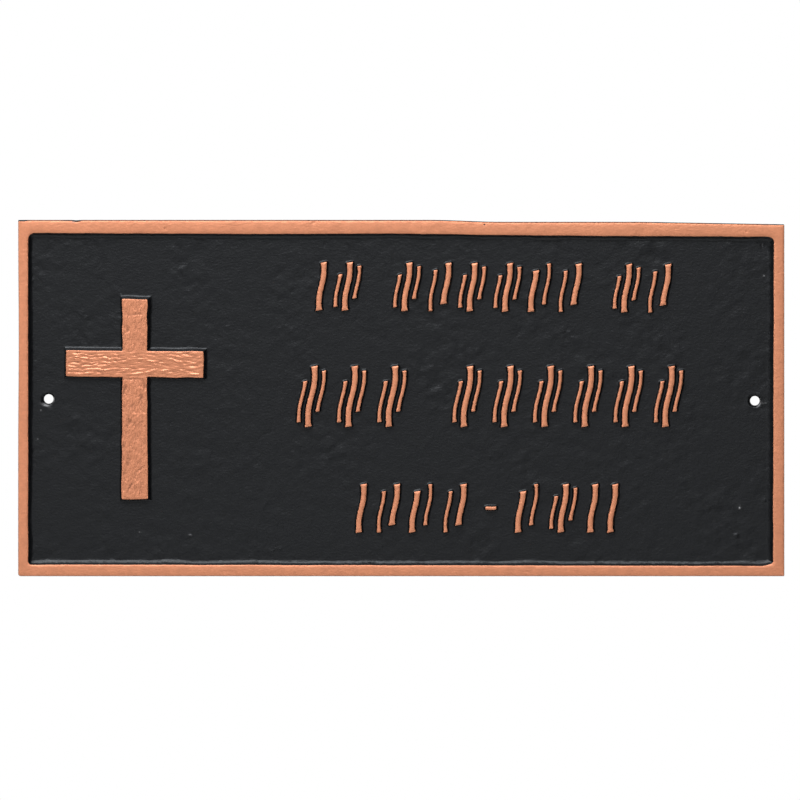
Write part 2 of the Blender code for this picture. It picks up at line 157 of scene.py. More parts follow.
def pocket_outline(inset):
    """The rim's inner edge, or a line that runs inset from it towards the panel."""
    points = rounded_rectangle(POCKET_BOX, inset, POCKET_RADII, 0.5)
    points[:, 0] += np.where(points[:, 0] > 0, POCKET_RIGHT_LEAN * points[:, 1] / HEIGHT, 0.0)
    points[:, 1] -= pocket_fall(*points.T)
    return points


def distance_out(x, z, box, radii):
    """How far points lie outside a box with round corners. Points inside it are below zero."""
    left, right, low, top = box
    at_right, at_top = x > (left + right) / 2, z > (low + top) / 2
    low_left, low_right, top_right, top_left = radii
    radius = np.where(at_right, np.where(at_top, top_right, low_right), np.where(at_top, top_left, low_left))
    over_x = np.abs(x - (left + right) / 2) - (right - left) / 2 + radius
    over_z = np.abs(z - (low + top) / 2) - (top - low) / 2 + radius
    corner = np.hypot(np.maximum(over_x, 0.0), np.maximum(over_z, 0.0))
    return np.minimum(np.maximum(over_x, over_z), 0.0) + corner - radius


def inside_edge(x, z):
    """How far points lie inside the plaque's outer edge."""
    square_x, square_z = x - left_hollow(x, z), z + ground_off(x, z)
    return -distance_out(square_x, square_z, OUTER_BOX, OUTER_RADII)


def into_pocket(x, z):
    """How far points lie past the rim's inner edge. On the rim they are below zero."""
    square_z = z + pocket_fall(x, z)
    square_x = x - np.where(x > 0, POCKET_RIGHT_LEAN * square_z / HEIGHT, 0.0)
    return -distance_out(square_x, square_z, POCKET_BOX, POCKET_RADII)


def wall_height(distance, height, foot, facet):
    """The height of a steep wall with a sloping facet at its foot, by the distance out from its top edge."""
    bend, facet_height = foot - facet, facet * math.tan(FACET_TURN)
    steep = height + (facet_height - height) * distance / bend
    return np.where(distance < bend, steep, facet_height * np.clip((foot - distance) / facet, 0.0, 1.0))


def rounded_top(depth, height, round_off):
    """The height of a top face whose edge is rounded off, by the depth in from that edge."""
    return height - round_off * np.maximum(1.0 - depth / round_off, 0.0) ** 2 / 2


def ripples(x, z, length, seed, stretch=(1.0, 1.0), waves=26):
    """A seeded random surface of even waves about this long, with a spread of 1."""
    draw = random.Random(seed)
    total = np.zeros(len(x))
    for _ in range(waves):
        turn, shift = draw.uniform(0, math.tau), draw.uniform(0, math.tau)
        size = length * math.exp(draw.gauss(0.0, 0.3))
        run = x / stretch[0] * math.cos(turn) + z / stretch[1] * math.sin(turn)
        total += np.sin(math.tau * run / size + shift)
    return total * math.sqrt(2.0 / waves)


def rim_sides(x, z):
    """How far points lie inside the rim's outer edge and past its uneven inner edge."""
    uneven = EDGE_SWAY * ripples(x, z, SWAY_LENGTH, 21) + EDGE_NICKS * ripples(x, z, NICK_LENGTH, 22)
    return inside_edge(x, z) - OUTER_DRAFT, into_pocket(x, z) + uneven


def wall_form(x, z):
    """How far the rim's inner wall is drawn out here, and the width of the facet at its foot before that."""
    near_right = eased((x - WIDTH / 2 + WALL_REACH) / WALL_BLEND)
    near_low = eased((-z - HEIGHT / 2 + WALL_REACH) / WALL_BLEND)
    uneven = WALL_UNEVENNESS * ripples(x, z, SWAY_LENGTH, 24)
    stretch = 1 + RIGHT_WALL_STRETCH * near_right + LOW_WALL_STRETCH * near_low + uneven
    return stretch, RIM_WALL_FACET * (1 + LOW_FACET_EXTRA * near_low)


def rim_height(x, z):
    """The rim's height over the panel: its crown, its rounded edges and its inner wall."""
    out, into = rim_sides(x, z)
    share = np.clip(out / np.maximum(out - into, 1e-9), 0.0, 1.0)
    crown = RELIEF - RIM_CROWN * (2 * share - 1) ** 2
    top = crown - RIM_EDGE_DROP * np.maximum(1.0 - out / RIM_EDGE_ROUND, 0.0) ** 2
    top -= RIM_INNER_DROP * np.maximum(1.0 + into / RIM_INNER_ROUND, 0.0) ** 2
    wall_top = RELIEF - RIM_CROWN - RIM_INNER_DROP
    stretch, facet = wall_form(x, z)
    return np.where(into < 0, top, wall_height(into / stretch, wall_top, RIM_WALL_FOOT, facet))


# Each ring is one line of points that the skin follows. Those over the rim run over its outer edge, across
# its crown, over its inner edge, down its wall, round the bend and the foot of the facet, and past them.
FIRST_INSET, CROWN_SHARES = 0.0001, (0.2, 0.4, 0.6, 0.8)
BEND_SHARES, FOOT_SHARES = (0.5, 0.92, 1.08), (0.98, 1.04)
borders = [outer_outline(OUTER_DRAFT)]
crown_from, crown_to = outer_outline(OUTER_DRAFT + RIM_EDGE_ROUND), pocket_outline(-RIM_INNER_ROUND)
rings = [outer_outline(OUTER_DRAFT + FIRST_INSET), crown_from]
rings += [crown_from + (crown_to - crown_from) * share for share in CROWN_SHARES]
wall_line, panel_line = pocket_outline(0.0), pocket_outline(2 * RIM_WALL_FOOT)
rings += [crown_to, pocket_outline(-RIM_INNER_ROUND / 3), wall_line]
stretch, facet = wall_form(*wall_line.T)
bend, foot = (RIM_WALL_FOOT - facet) * stretch, RIM_WALL_FOOT * stretch
reaches = [bend * share for share in BEND_SHARES] + [foot * share for share in FOOT_SHARES]
for reach in (*reaches, foot + PAST_WALL):
    rings.append(wall_line + (panel_line - wall_line) * (reach / (2 * RIM_WALL_FOOT))[:, None])

# The raised cross, cast in one with the plate and standing as high as the rim. Its face was carved in the
# pattern: the bar has wavy ridges along it like wood, and the post a finer beaten grain.
CROSS_HEIGHT, CROSS_SPAN = 0.1043, 0.0716
CROSS_X, CROSS_Z = -WIDTH / 2 + 0.061, -0.0006
POST_TOP_WIDTH, POST_BAR_WIDTH, POST_FOOT_WIDTH = 0.013, 0.0126, 0.0138
BAR_THICKNESS, BAR_BELOW_TOP, BAR_TILT = 0.0135, 0.0338, math.radians(-0.5)
BAR_Z = CROSS_HEIGHT / 2 - BAR_BELOW_TOP
CROSS_WALL_FOOT, CROSS_WALL_FACET = 0.0015, 0.0005
WALL_LEFT, WALL_RIGHT, WALL_LOW, WALL_TOP = 0.0009, 0.0021, 0.0009, 0.0021
HEAD_WALL_EXTRA = 0.0006
CROSS_EDGE_ROUND, CROSS_CORNER_RADIUS = 0.00035, 0.0006
HAND_CUT, CUT_LENGTH = 0.00009, 0.013
CROSS_SPACING = 0.0008
FACE_RING_DEPTHS = (0.0011, 0.0007, 0.00035, 0.00013)
WALL_RING_SHARES, PAST_CROSS = (0.35, 0.64, 0.71, 0.97, 1.04), 0.0009

# The grain in the cross's face: how deep it is cut in the bar and in the post, how much of that shows at
# the middle of the bar's right arm, its left arm and the crossing, and how the bar's ridges run.
BAR_GRAIN, POST_GRAIN, GRAIN_ROOM, GRAIN_FADE = 0.00024, 0.00011, 0.0004, 0.0009
CARVING, LEFT_EXTRA, CROSSING_LESS = 0.32, 0.19, 0.26
RIDGE_PITCH, RIDGE_SWAY, FINE_SWAY, CROSSING_SWIRL = 0.0021, 0.0006, 0.00018, 0.0016
CREST_HEIGHT, GOUGE_DEPTH, LOWER_POST_EXTRA = 0.00175, 0.00105, 0.6
BAR_MARGIN, BAR_BLEND = 0.0012, 0.0022


def rounded_polygon(corners, radius, spacing):
    """A closed outline with every corner rounded, cut up at an even spacing."""
    corners = np.asarray(corners, float)
    points = []
    for index, corner in enumerate(corners):
        following = corners[(index + 1) % len(corners)]
        back, ahead = corners[index - 1] - corner, following - corner
        back_length, ahead_length = np.linalg.norm(back), np.linalg.norm(ahead)
        reach = min(radius, 0.45 * back_length, 0.45 * ahead_length)
        start, end = corner + back / back_length * reach, corner + ahead / ahead_length * reach
        for share in (0.0, 1 / 3, 2 / 3, 1.0):
            first, second = start + (corner - start) * share, corner + (end - corner) * share
            points.append(first + (second - first) * share)
        stop = following - ahead / ahead_length * min(radius, 0.45 * ahead_length)
        steps = max(1, round(np.linalg.norm(stop - end) / spacing))
        points += [end + (stop - end) * step / steps for step in range(1, steps)]
    return np.array(points)


def outward(points):
    """The direction out of a counter-clockwise outline at each of its points."""
    run = np.roll(points, -1, axis=0) - np.roll(points, 1, axis=0)
    run /= np.linalg.norm(run, axis=1)[:, None]
    return np.column_stack((run[:, 1], -run[:, 0]))


def to_segment(x, z, start, end):
    """How far places lie from the straight line between two points."""
    (ax, az), (bx, bz) = start, end
    run, rise = bx - ax, bz - az
    share = np.clip(((x - ax) * run + (z - az) * rise) / (run * run + rise * rise), 0.0, 1.0)
    return np.hypot(x - ax - share * run, z - az - share * rise)


def distance_to(points, x, z):
    """How far places lie outside a closed outline. Places inside it are below zero."""
    nearest = np.full(len(x), np.inf)
    inside = np.zeros(len(x), bool)
    for start, end in zip(points, np.roll(points, -1, axis=0)):
        nearest = np.minimum(nearest, to_segment(x, z, start, end))
        (ax, az), (bx, bz) = start, end
        if az != bz:
            inside ^= ((z < az) != (z < bz)) & (x < ax + (z - az) / (bz - az) * (bx - ax))
    return np.where(inside, -nearest, nearest)


def post_half_width(z):
    """Half the post's width at z, from the cross's middle. It widens from the bar to its foot and head."""
    above = (z - BAR_Z) / BAR_BELOW_TOP
    below = (BAR_Z - z) / (CROSS_HEIGHT - BAR_BELOW_TOP)
    top = POST_BAR_WIDTH + (POST_TOP_WIDTH - POST_BAR_WIDTH) * above
    foot = POST_BAR_WIDTH + (POST_FOOT_WIDTH - POST_BAR_WIDTH) * below
    return np.where(z > BAR_Z, top, foot) / 2


def right_wall(z):
    """How far the cross's right-hand wall runs out at its foot. It leans out most beside the head."""
    shoulder = BAR_Z + BAR_THICKNESS / 2
    return WALL_RIGHT + HEAD_WALL_EXTRA * np.clip((z - shoulder) / (CROSS_HEIGHT / 2 - shoulder), 0.0, 1.0)


def hand_cut(x, z):
    """How far the hand-cut outline of the cross wanders sideways and up at a place."""
    return [HAND_CUT * ripples(x, z, CUT_LENGTH, seed) for seed in (37, 38)]


def cross_ring(inset=0.0, walls=0.0):
    """A line round the cross, counter-clockwise, inset from its edge or this share of its walls' run out."""
    low, top = BAR_Z - BAR_THICKNESS / 2, BAR_Z + BAR_THICKNESS / 2
    levels = np.array((-CROSS_HEIGHT / 2, low, low, top, top, CROSS_HEIGHT / 2))
    halves = post_half_width(levels)
    halves[2:4] = CROSS_SPAN / 2
    x, z = np.concatenate((halves, -halves[::-1])), np.concatenate((levels, levels[::-1]))
    corners = np.column_stack((x, z + math.tan(BAR_TILT) * x * ((0, 1, 1, 1, 1, 0) * 2)))
    side_x = np.repeat((1, -1), 6)
    side_z = np.repeat((-1, 1, -1), (3, 6, 3))
    out_x = side_x * (walls * np.where(side_x > 0, right_wall(corners[:, 1]), WALL_LEFT) - inset)
    out_z = side_z * (walls * np.where(side_z > 0, WALL_TOP, WALL_LOW) - inset)
    corners += np.column_stack((out_x, out_z)) + (CROSS_X, CROSS_Z)
    line = rounded_polygon(corners, CROSS_CORNER_RADIUS, CROSS_SPACING)
    return line + np.column_stack(hand_cut(*line.T))


def down_walls(x, z):
    """How far down the cross's walls a place lies, from 0 at its edge to 1 at the panel."""
    shift_x, shift_z = hand_cut(x, z)
    x, z = x - shift_x - CROSS_X, z - shift_z - CROSS_Z
    half, bar_z = post_half_width(z), z - BAR_Z - math.tan(BAR_TILT) * x
    post = (x - half, -x - half, z - CROSS_HEIGHT / 2, -z - CROSS_HEIGHT / 2)
    bar = (x - CROSS_SPAN / 2, -x - CROSS_SPAN / 2, bar_z - BAR_THICKNESS / 2, -bar_z - BAR_THICKNESS / 2)
    runs = (right_wall(z), WALL_LEFT, WALL_TOP, WALL_LOW)
    shares = [np.maximum.reduce([over / run for over, run in zip(part, runs)]) for part in (post, bar)]
    return np.minimum(*shares)


# Marks of the carving that can be told apart, crests on the bar and gouges on the post, in millimetres from
# the cross's middle: each has its place, half length, half width, turn in degrees and height or depth.
BAR_CRESTS = (
    (-29.7, 22, 2.4, 0.34, -8, 0.2),
    (-25, 21.2, 2.2, 0.34, -6, 0.16),
    (-33, 17, 3, 0.4, -14, 0.18),
    (-33.5, 15.5, 2.2, 0.34, 4, 0.18),
    (-29, 13.2, 3, 0.34, 2, 0.16),
    (-18.5, 17, 2.2, 0.34, -12, 0.16),
    (-17.2, 15.5, 2.6, 0.4, -10, 0.2),
    (-14, 18.2, 1.6, 0.4, -30, 0.2),
    (-14.5, 21.5, 1.6, 0.34, 10, 0.14),
    (8, 19.9, 2.6, 0.4, -12, 0.22),
    (1.5, 13.3, 2.6, 0.5, 3, 0.22),
    (7.4, 14.3, 2.4, 0.4, 8, 0.18),
    (22, 19.8, 2, 0.4, -18, 0.22),
    (24, 22.1, 3, 0.34, -4, 0.14),
    (20, 16, 3, 0.34, -6, 0.14),
    (15, 14.8, 3, 0.34, 6, 0.14),
    (30.1, 13, 3, 0.4, -2, 0.2),
    (30, 16.2, 2.2, 0.34, 4, 0.12),
)
POST_GOUGES = (
    (0.5, 44.1, 4.5, 0.5, 4, 0.22),
    (-3.6, 36, 2, 0.7, 80, 0.22),
    (-6, 33, 1.8, 0.5, 85, 0.12),
    (3, 39.5, 1.8, 0.6, 70, 0.1),
    (-1.4, 10.5, 6, 0.5, 1, 0.28),
    (-4.8, 6.3, 1.6, 0.9, 75, 0.24),
    (-5.7, 3, 2.2, 0.6, 85, 0.18),
    (5.2, 6.6, 2, 0.6, 88, 0.22),
    (3.4, 0.1, 1.8, 0.8, 75, 0.22),
    (-0.8, -3, 1.4, 0.8, 60, 0.18),
    (-2.8, -12, 1.6, 1, 70, 0.24),
    (-5.8, -24, 1.8, 0.8, 85, 0.18),
    (-3.4, -33, 2.6, 0.9, 80, 0.24),
    (-5.8, -31, 2, 0.6, 85, 0.16),
    (3, -36.6, 2.2, 0.5, 35, 0.22),
    (-1.8, -44.8, 3, 0.5, 65, 0.22),
    (-4.8, -42, 1.4, 0.7, 60, 0.14),
)


def carved(x, z, marks):
    """How high separate marks stand, in millimetres. Each fades out towards its ends and sides."""
    total = np.zeros(len(x))
    x, z = x * 1000, z * 1000
    for mark_x, mark_z, half_length, half_width, turn, height in marks:
        turn = math.radians(turn)
        run = (x - mark_x) * math.cos(turn) + (z - mark_z) * math.sin(turn)
        side = (z - mark_z) * math.cos(turn) - (x - mark_x) * math.sin(turn)
        total += height * np.exp(-((run / half_length) ** 2) - (side / half_width) ** 2)
    return total


def in_bar(z):
    """1 within the bar's grain and 0 within the post's. z is from the cross's middle."""
    return 1 - eased((np.abs(z - BAR_Z) - BAR_THICKNESS / 2 + BAR_MARGIN) / BAR_BLEND)


def cross_grain(x, z):
    """How far the carved face stands off the cross's flat face. x and z are from the cross's middle."""
    sway = RIDGE_SWAY * ripples(x, z, 0.014, 31, (1.0, 0.7))
    sway += FINE_SWAY * ripples(x, z, 0.005, 32, (1.5, 0.6))
    sway -= CROSSING_SWIRL * np.sin(x / 0.0045) * bell(x, 0.007)
    carving = CARVING + LEFT_EXTRA * eased((-x - 0.006) / 0.012) - CROSSING_LESS * bell(x, 0.0065)
    strength = carving * np.clip(1.0 + 0.95 * ripples(x, z, 0.008, 33, (1.5, 0.4)), 0.0, 2.6)
    phase = math.tau * (z - BAR_Z + sway) / RIDGE_PITCH
    wood = np.sin(phase) - 0.3 * np.sin(2 * phase)
    fine_wood = ripples(x, z, 0.0015, 34, (5.0, 1.0), 40)
    bar = BAR_GRAIN * (0.5 * strength * wood + 0.24 * fine_wood) + CREST_HEIGHT * carved(x, z, BAR_CRESTS)
    beaten = ripples(x, z, 0.0013, 35, (0.8, 2.4), 40)
    rough = ripples(x, z, 0.0042, 36, (0.7, 1.9))
    lower_down = 1 + LOWER_POST_EXTRA * eased((BAR_Z - z) / 0.02)
    post = POST_GRAIN * lower_down * (0.24 * beaten + 0.24 * rough)
    post -= GOUGE_DEPTH * carved(x, z, POST_GOUGES)
    return bar * in_bar(z) + post * (1 - in_bar(z))


cross_line = cross_ring()
rings += [cross_ring(inset=depth) for depth in FACE_RING_DEPTHS]
rings += [cross_line] + [cross_ring(walls=share) for share in WALL_RING_SHARES]
rings.append(cross_ring(inset=-PAST_CROSS, walls=WALL_RING_SHARES[-1]))


def cross_height(x, z):
    """The cross's height over the panel, and how far outside its edge each point lies."""
    edge, down = distance_to(cross_line, x, z), down_walls(x, z)
    grain = cross_grain(x - CROSS_X, z - CROSS_Z) * eased(-edge / GRAIN_FADE)
    top = rounded_top(-edge, RELIEF - GRAIN_ROOM, CROSS_EDGE_ROUND) + np.minimum(grain, GRAIN_ROOM)
    wall_top = RELIEF - GRAIN_ROOM - CROSS_EDGE_ROUND / 2
    wall = wall_height(down * CROSS_WALL_FOOT, wall_top, CROSS_WALL_FOOT, CROSS_WALL_FACET)
    return np.where(down < 0, top, wall), edge


# Three rows of raised strokes beside the cross, plain leaning bars in groups. They were set one by one on
# the pattern and cast with the plate, so each has a flat top, drafted walls and a small facet at its foot.
STROKE_RELIEF = 0.0022
STROKE_WALL_FOOT, STROKE_WALL_FACET = 0.001, 0.00038
STROKE_THICK, STROKE_THIN = 0.0026, 0.0016
STROKE_LEAN, STROKE_BEND = 0.048, 0.026
STROKE_FLARE, STROKE_FLARE_LENGTH, STROKE_END_SLOPE = 0.35, 0.0024, 0.18
STROKE_EDGE_ROUND = 0.00038
STROKE_CORNER_RADIUS = 0.00035
STROKE_SPACING = 0.0012
STROKE_NICKS, STROKE_NICK_LENGTH = 0.00004, 0.0022
STROKE_RING_REACHES = (-0.0002, 0.0, 0.00062, 0.001, 0.0013)
DASH_THICKNESS = 0.0016
ROW_TOP_MARGIN, ROW_BOTTOM_MARGIN, MIDDLE_ROW_RAISE = 0.0126, 0.0146, 0.0007

# How wide a mark is, by how many strokes it has, and the part of the row's height that each stroke of it
# covers, from -1 at its foot to 1 at its head. A mark of no strokes is a level dash.
DASH = 0
MARK_WIDTHS = {DASH: 0.0057, 1: 0.005, 2: 0.012, 3: 0.015}
STROKE_REACH = {
    1: ((-1.0, 1.0),),
    2: ((-1.0, 0.7), (-0.7, 1.0)),
    3: ((-0.85, 0.5), (-1.0, 1.0), (-0.5, 0.85)),
}

# Each row: its height, the room at either side of the free panel, how far it stands to the right, how
# much it falls along its length, the gaps between its marks and its groups, and the groups of marks.
ROWS = (
    (0.025, 0.05525, 0.00385, 0.0012, 0.00375, 0.0166, ((1, 3), (3, 2, 3, 3, 2, 2), (3, 2))),
    (0.0315, 0.04665, 0.00195, 0.0, 0.0054, 0.023, ((3, 3, 3), (3, 3, 3, 3, 3, 3))),
    (0.025, 0.07945, 0.00045, 0.0, 0.0055, 0.0102, ((1, 2, 2, 2), (DASH,), (2, 3, 1, 1))),
)


def stroke_outline(middle, height, reach, thickness, squeeze):
    """One leaning, slightly bent stroke with flared ends, counter-clockwise, and its spine."""
    low, high = reach
    length = (high - low) * height / 2
    steps = max(6, round(length / STROKE_SPACING))
    flare_shares = np.array((0.0, 0.25, 0.6)) * STROKE_FLARE_LENGTH / length
    shares = np.concatenate((flare_shares, np.arange(2, steps - 1) / steps, 1 - flare_shares[::-1]))
    level = low + (high - low) * shares
    sideways = height * (STROKE_LEAN * level + STROKE_BEND * np.sin(math.pi * level)) * squeeze
    from_end = np.minimum(shares, 1 - shares) * length / STROKE_FLARE_LENGTH
    flare = STROKE_FLARE * np.maximum(1 - from_end, 0.0) ** 1.6
    half = thickness / 2 * (1 + flare)
    cut = half * STROKE_END_SLOPE * (from_end == 0)
    x, z = middle[0] + sideways, middle[1] + level * height / 2
    right = np.column_stack((x + half * squeeze, z + cut))
    left = np.column_stack((x - half * squeeze, z - cut))
    outline = np.concatenate((right, left[::-1]))
    corners = (0, len(right) - 1, len(right), len(outline) - 1)
    return soft_corners(outline, corners), np.column_stack((x, z))[2:-2]


def soft_corners(points, corners):
    """An outline with the corners at these places in it rounded, and every other point kept."""
    soft = []
    for index, point in enumerate(points):
        if index not in corners:
            soft.append(point)
            continue
        back, ahead = points[index - 1] - point, points[(index + 1) % len(points)] - point
        start = point + back / np.linalg.norm(back) * STROKE_CORNER_RADIUS
        end = point + ahead / np.linalg.norm(ahead) * STROKE_CORNER_RADIUS
        soft += [start, (start + 2 * point + end) / 4, end]
    return np.array(soft)


def mark_outlines(middle, strokes, height, squeeze, number):
    """The strokes of one mark, side by side over its width, the heavy one changing sides in pairs."""
    if strokes == DASH:
        half, rise = MARK_WIDTHS[DASH] / 2 * squeeze, DASH_THICKNESS / 2
        box = [(-half, -rise), (half, -rise), (half, rise), (-half, rise)]
        line = rounded_polygon(np.array(box) + middle, STROKE_CORNER_RADIUS, STROKE_SPACING)
        return [(line, np.array([middle]))]
    room = MARK_WIDTHS[strokes] - 2 * STROKE_LEAN * height - STROKE_THICK
    outlines = []
    for index, reach in enumerate(STROKE_REACH[strokes]):
        place = index / (strokes - 1) - 0.5 if strokes > 1 else 0.0
        heavy = {1: True, 2: index == number % 2, 3: index == 1}[strokes]
        thickness = STROKE_THICK if heavy else STROKE_THIN
        centre = (middle[0] + place * room * squeeze, middle[1])
        outlines.append(stroke_outline(centre, height, reach, thickness, squeeze))
    return outlines


def row_outlines(row, row_z):
    """The outlines of one row, spread over the panel between the cross and the rim."""
    height, side_margin, shift, fall, mark_gap, group_gap, groups = row
    natural = group_gap * (len(groups) - 1)
    for group in groups:
        natural += sum(MARK_WIDTHS[strokes] for strokes in group) + mark_gap * (len(group) - 1)
    free_left = CROSS_X + CROSS_SPAN / 2
    free_right = WIDTH / 2 - RIM_RIGHT - RIM_WALL_FOOT
    room = free_right - free_left - 2 * side_margin
    squeeze = room / natural
    x = start = free_left + side_margin + shift
    outlines = []
    for group in groups:
        for number, strokes in enumerate(group):
            width = MARK_WIDTHS[strokes] * squeeze
            drop = fall * ((x + width / 2 - start) / room - 0.5)
            outlines += mark_outlines((x + width / 2, row_z - drop), strokes, height, squeeze, number)
            x += width + mark_gap * squeeze
        x += (group_gap - mark_gap) * squeeze
    return outlines


panel_top = HEIGHT / 2 - RIM_TOP - RIM_WALL_FOOT - POCKET_TOP_FALL / 2
panel_low = -HEIGHT / 2 + RIM_BOTTOM + RIM_WALL_FOOT
top_row_z = panel_top - ROW_TOP_MARGIN - ROWS[0][0] / 2
bottom_row_z = panel_low + ROW_BOTTOM_MARGIN + ROWS[2][0] / 2
middle_row_z = (top_row_z + bottom_row_z) / 2 + MIDDLE_ROW_RAISE
stroke_lines, spines = [], []
for row, row_z in zip(ROWS, (top_row_z, middle_row_z, bottom_row_z)):
    for line, spine in row_outlines(row, row_z):
        stroke_lines.append(line)
        spines.append(spine)
        out = outward(line)
        rings += [line + out * reach for reach in STROKE_RING_REACHES]


def stroke_height(x, z):
    """The strokes' height over the panel, and how far outside the nearest stroke's edge each point lies."""
    height, nearest = np.zeros(len(x)), np.full(len(x), 1.0)
    margin = 0.003
    for line in stroke_lines:
        low, high = line.min(0) - margin, line.max(0) + margin
        near = (x > low[0]) & (x < high[0]) & (z > low[1]) & (z < high[1])
        nicks = STROKE_NICKS * ripples(x[near], z[near], STROKE_NICK_LENGTH, 23)
        edge = distance_to(line, x[near], z[near]) + nicks
        top = rounded_top(-edge, STROKE_RELIEF, STROKE_EDGE_ROUND)
        wall_top = STROKE_RELIEF - STROKE_EDGE_ROUND / 2
        wall = wall_height(edge, wall_top, STROKE_WALL_FOOT, STROKE_WALL_FACET)
        height[near] = np.maximum(height[near], np.where(edge < 0, top, wall))
        nearest[near] = np.minimum(nearest[near], edge)
    return height, nearest


# The two screw holes, drilled after casting. The drill tore a rough flared lip round each mouth, which
# stands a little proud and is chipped lower left on one and lower right on the other.
HOLE_RADIUS, HOLE_MOUTH_RADIUS, HOLE_MOUTH_DEPTH = 0.00266, 0.0034, 0.001
BORE_NARROWING, MOUTH_LEAN, MOUTH_SHIFT = 0.0002, math.radians(175), 0.0004
TORN, FINELY_TORN = 0.00016, 0.0001
LIP_CHIP, LIP_CHIP_TURN = 0.0007, 0.6
BURR_HEIGHT, BURR_OUT, BURR_WIDTH, BURR_REACH = 0.00012, 0.0004, 0.0005, 0.006
HOLE_SIDES = 40
MOUTH_RING_RADII = (0.0033, 0.00365, 0.004, 0.0045, 0.0053)

# Each hole's middle, the way its chip points and the seed of its torn lip.
HOLES = (
    (-WIDTH / 2 + 0.016, -0.00045, math.radians(222), 51),
    (WIDTH / 2 - 0.0154, -0.0014, math.radians(322), 52),
)
hole_turns = math.tau * np.arange(HOLE_SIDES) / HOLE_SIDES


def hole_circles(radius):
    """Points round each hole at this radius, counter-clockwise."""
    across, up = radius * np.cos(hole_turns), radius * np.sin(hole_turns)
    return [np.column_stack((hole_x + across, hole_z + up)) for hole_x, hole_z, *_ in HOLES]


borders += hole_circles(HOLE_RADIUS)
for hole_rings in zip(*map(hole_circles, MOUTH_RING_RADII)):
    rings += hole_rings


def hole_height(x, z):
    """The depth of the holes' mouths, and the low burr and chipped lip round them."""
    height = np.zeros(len(x))
    for hole_x, hole_z, chip_turn, seed in HOLES:
        reach, turn = np.hypot(x - hole_x, z - hole_z), np.arctan2(z - hole_z, x - hole_x)
        ragged = TORN * np.sin(5 * turn + seed) + FINELY_TORN * np.sin(11 * turn + 2 * seed)
        chip = bell(np.angle(np.exp(1j * (turn - chip_turn))), LIP_CHIP_TURN)
        mouth = HOLE_MOUTH_RADIUS + ragged + LIP_CHIP * chip + MOUTH_SHIFT * np.cos(turn - MOUTH_LEAN)
        inside = np.clip((mouth - reach) / (mouth - HOLE_RADIUS), 0.0, 1.0)
        burr = BURR_HEIGHT * bell(reach - mouth - BURR_OUT, BURR_WIDTH) * (reach < BURR_REACH)
        height += burr * (0.6 + 0.4 * np.sin(3 * turn + seed)) - HOLE_MOUTH_DEPTH * inside
    return height


# The cast surface. The sand left low waves and faint veins all over the panel, with a few grains, pits and
# scratches, and the rim has a chip and some flaws along its top.
WAVE_HEIGHT = 0.000055

# In millimetres, each vein's path, half width and height, and each speck's and flaw's place, half length,
# half width, turn in degrees and height. What is below zero is cut in.
VEINS = (
    (((-66.7, -10.8), (-67.5, -17.5), (-73.5, -20), (-75, -24)), 0.6, -0.1),
    (((-69, -46.5), (-71.5, -56), (-75.5, -67), (-76, -80)), 0.7, 0.06),
    (((-46.5, -63.5), (-50, -69)), 0.7, 0.06),
    (((-27.7, 81.8), (-28.5, 74.5), (-24, 70)), 0.6, 0.08),
    (((-18, 74.5), (-17, 66)), 0.8, -0.07),
    (((84, 32), (88.5, 35), (89.5, 31)), 0.8, 0.1),
    (((96, 27.5), (99, 34.5)), 0.8, 0.09),
    (((57, 29), (61, 34), (65, 39.5)), 0.9, -0.08),
    (((10, -29.8), (13, -24), (16.5, -19.5)), 0.7, 0.07),
    (((30, 79), (34.5, 76), (38.5, 78.2)), 0.7, 0.07),
    (((-88, 50), (-90.5, 44), (-96, 39.5)), 0.9, 0.06),
)
SPECKS = (
    (-110, -71.5, 1.1, 0.4, -6, 0.2),
    (-136.6, -70, 0.5, 0.4, 0, 0.16),
    (-167.6, 43.8, 1.2, 0.4, -40, 0.12),
    (-164, 42.5, 0.7, 0.4, 20, 0.12),
    (-189.7, -21.4, 0.6, 0.4, 0, 0.16),
    (-90.7, 37.5, 1.2, 0.4, 6, 0.12),
    (-66.8, -79.5, 1.4, 0.4, 30, 0.16),
    (-65.5, -78.3, 1, 0.4, -30, 0.16),
    (-63, -78.8, 0.6, 0.5, 0, 0.14),
    (76.2, -24.6, 0.8, 0.5, 50, 0.16),
    (46.5, -30.8, 0.4, 0.4, 0, 0.16),
    (176.4, -57.4, 0.5, 0.5, 0, 0.28),
    (174.8, -71.5, 1.4, 1.1, 20, 0.22),
    (189.3, 63.6, 0.5, 0.5, 0, 0.14),
    (189.5, -53.3, 1, 0.6, 70, 0.16),
    (190, -3.2, 2.2, 0.3, 20, 0.16),
    (85, 34.7, 0.6, 0.6, 0, 0.14),
    (-40, 80, 0.5, 0.5, 0, -0.14),
)
RIM_FLAWS = (
    (-169.3, 92.1, 1.3, 0.5, 0, -0.35),
    (-113.6, 91.5, 0.6, 0.6, 0, 0.2),
    (-123, 88.4, 0.9, 0.6, 30, -0.22),
    (-45.8, 91.5, 0.8, 0.7, 0, -0.26),
    (43.4, 90.3, 0.6, 0.5, 0, -0.1),
    (180, 86.8, 0.8, 0.6, 0, -0.22),
    (197.2, -49.6, 0.7, 1.4, 0, 0.18),
    (-197.4, 31, 0.6, 1, 0, -0.16),
    (-90, -90.5, 3, 0.7, 2, -0.12),
    (65, -90.5, 4, 0.6, -2, -0.1),
)

# Places on the rim that the copper missed, in the same form, with how far each pushes the copper back.
MISSED_SPOTS = (
    (-169.3, 92.4, 1.4, 0.4, 0, 2),
    (-173.5, 92.6, 3, 0.2, 0, 0.8),
    (-197.5, 92.5, 2, 0.3, 0, 1.2),
    (43.4, 90.3, 0.4, 0.3, 0, 4),
)

